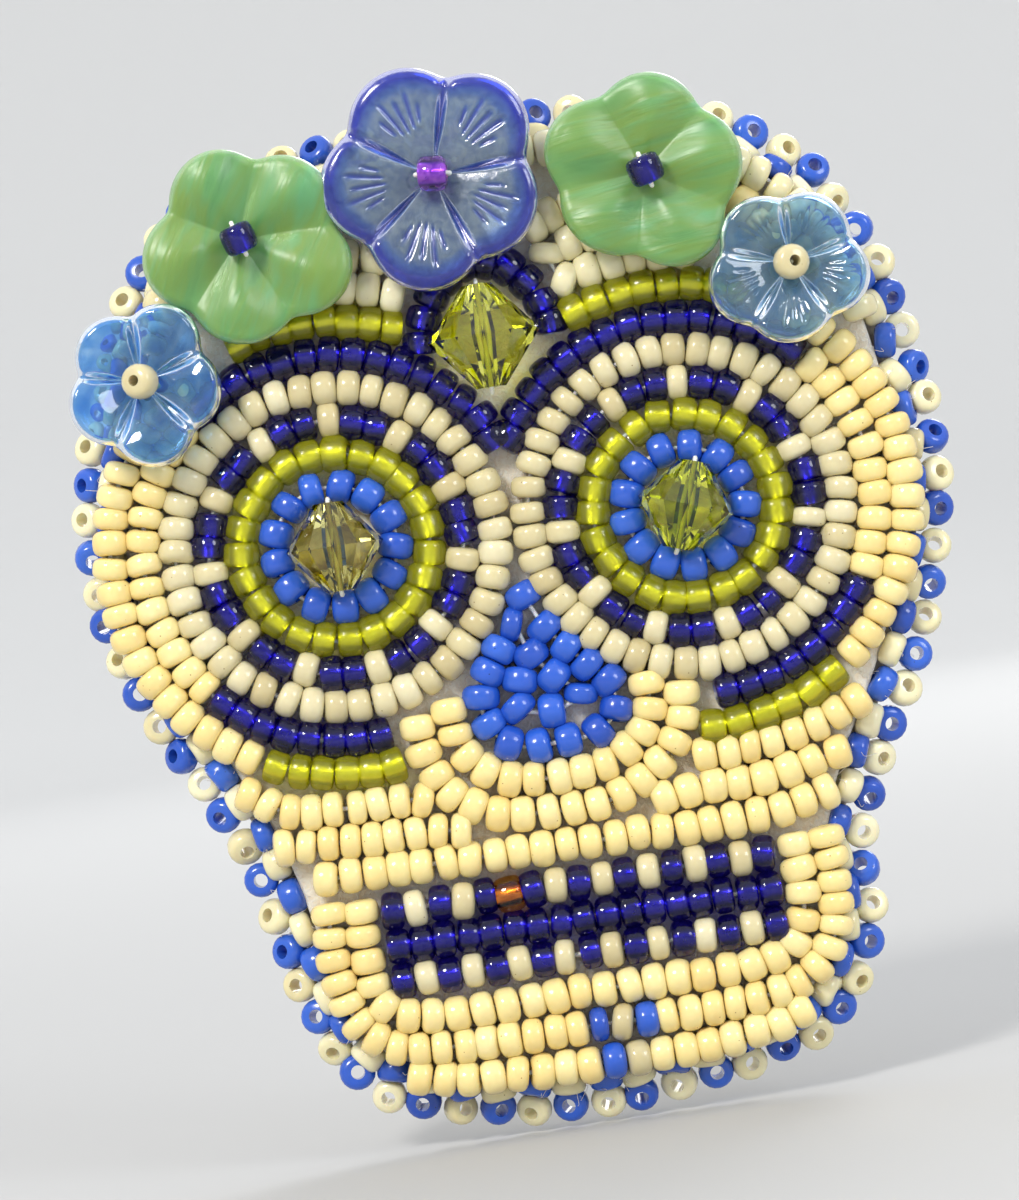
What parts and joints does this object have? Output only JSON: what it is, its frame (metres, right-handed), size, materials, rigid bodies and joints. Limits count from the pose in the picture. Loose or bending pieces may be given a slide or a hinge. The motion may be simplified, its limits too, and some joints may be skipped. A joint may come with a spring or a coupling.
{
  "type": "beaded skull brooch",
  "caption": "Sugar-skull brooch in seed-bead embroidery on felt, with glass flowers, crystal eyes, a beaded edge and a bar pin with a safety catch.",
  "frame": {"origin": "on the rear face of the backing, behind the bridge of the nose, where the brooch lies against the garment", "axes": "-Y out of the face towards the viewer, +Y into the garment, +Z towards the crown, +X to the viewer's right"},
  "size_m": [0.0576, 0.0173, 0.0686],
  "materials": {
    "cream_glass": "opaque glossy seed bead",
    "ivory_glass": "opaque glossy seed bead",
    "cobalt_glass": "silver-lined transparent seed bead",
    "lime_glass": "silver-lined frosted seed bead",
    "blue_glass": "opaque glossy seed bead",
    "green_glass": "satin pressed glass",
    "sapphire_glass": "transparent pressed glass with engraved petals",
    "sky_glass": "transparent pressed glass",
    "lime_crystal": "faceted crystal",
    "olive_crystal": "faceted crystal",
    "iris_glass": "metallic purple iris seed bead",
    "felt": "needled felt",
    "card": "plain card",
    "suede": "synthetic suede",
    "nickel": "nickel-plated steel"
  },
  "bodies": {
    "brooch": {"suede_backing": "suede", "stiffener": "card", "felt_foundation": "felt", "edging_outer_row": "ivory_glass", "edging_inner_row": "blue_glass", "left_eye_crystal": "olive_crystal", "left_eye_blue_ring": "blue_glass", "left_eye_lime_ring": "lime_glass", "left_eye_checker_ring": "cobalt_glass", "left_eye_ivory_ring": "ivory_glass", "right_eye_crystal": "lime_crystal", "right_eye_blue_ring": "blue_glass", "right_eye_lime_ring": "lime_glass", "right_eye_checker_ring": "cobalt_glass", "right_eye_ivory_ring": "ivory_glass", "brow_cobalt_row": "cobalt_glass", "left_eye_outer_row": "cream_glass", "left_brow_lime_row": "lime_glass", "left_temple_outer_row": "cream_glass", "left_under_eye_lime_row": "lime_glass", "right_eye_outer_row": "cream_glass", "right_brow_lime_row": "lime_glass", "right_temple_outer_row": "cream_glass", "right_under_eye_lime_row": "lime_glass", "forehead_crystal": "lime_crystal", "forehead_cobalt_arch": "cobalt_glass", "left_forehead_rows": "cream_glass", "right_forehead_rows": "cream_glass", "crown_row": "cream_glass", "right_crown_row": "cream_glass", "nose_beads": "blue_glass", "nose_wrap_inner_row": "cream_glass", "nose_wrap_outer_row": "cream_glass", "left_cheek_upper_row": "cream_glass", "left_cheek_lower_row": "cream_glass", "right_cheek_upper_row": "cream_glass", "right_cheek_lower_row": "cream_glass", "upper_lip_row": "cream_glass", "upper_teeth_row": "ivory_glass", "mouth_middle_row": "cobalt_glass", "lower_teeth_row": "ivory_glass", "jaw_inner_row": "cream_glass", "jaw_outer_row": "cream_glass", "chin_row": "cream_glass", "left_sky_flower": "sky_glass", "left_sky_stop_bead": "ivory_glass", "left_green_flower": "green_glass", "left_green_stop_bead": "cobalt_glass", "centre_sapphire_flower": "sapphire_glass", "centre_sapphire_stop_bead": "iris_glass", "right_green_flower": "green_glass", "right_green_stop_bead": "cobalt_glass", "right_sky_flower": "sky_glass", "right_sky_stop_bead": "ivory_glass", "pin_bar": "nickel", "hinge_rivet": "nickel", "catch_housing": "nickel"},
    "stem": {"pin_stem": "nickel"},
    "roller": {"catch_roller": "nickel"}
  },
  "joints": [
    {"name": "stem_swing", "type": "hinge", "parent": "brooch", "child": "stem", "pos_m": [-0.0132, 0.0055, 0.01], "axis": [0, 0, 1], "range_deg": [0, 100]},
    {"name": "roller_turn", "type": "hinge", "parent": "brooch", "child": "roller", "pos_m": [0.0106, 0.0055, 0.01], "axis": [1, 0, 0], "range_deg": [0, 124]}
  ]
}
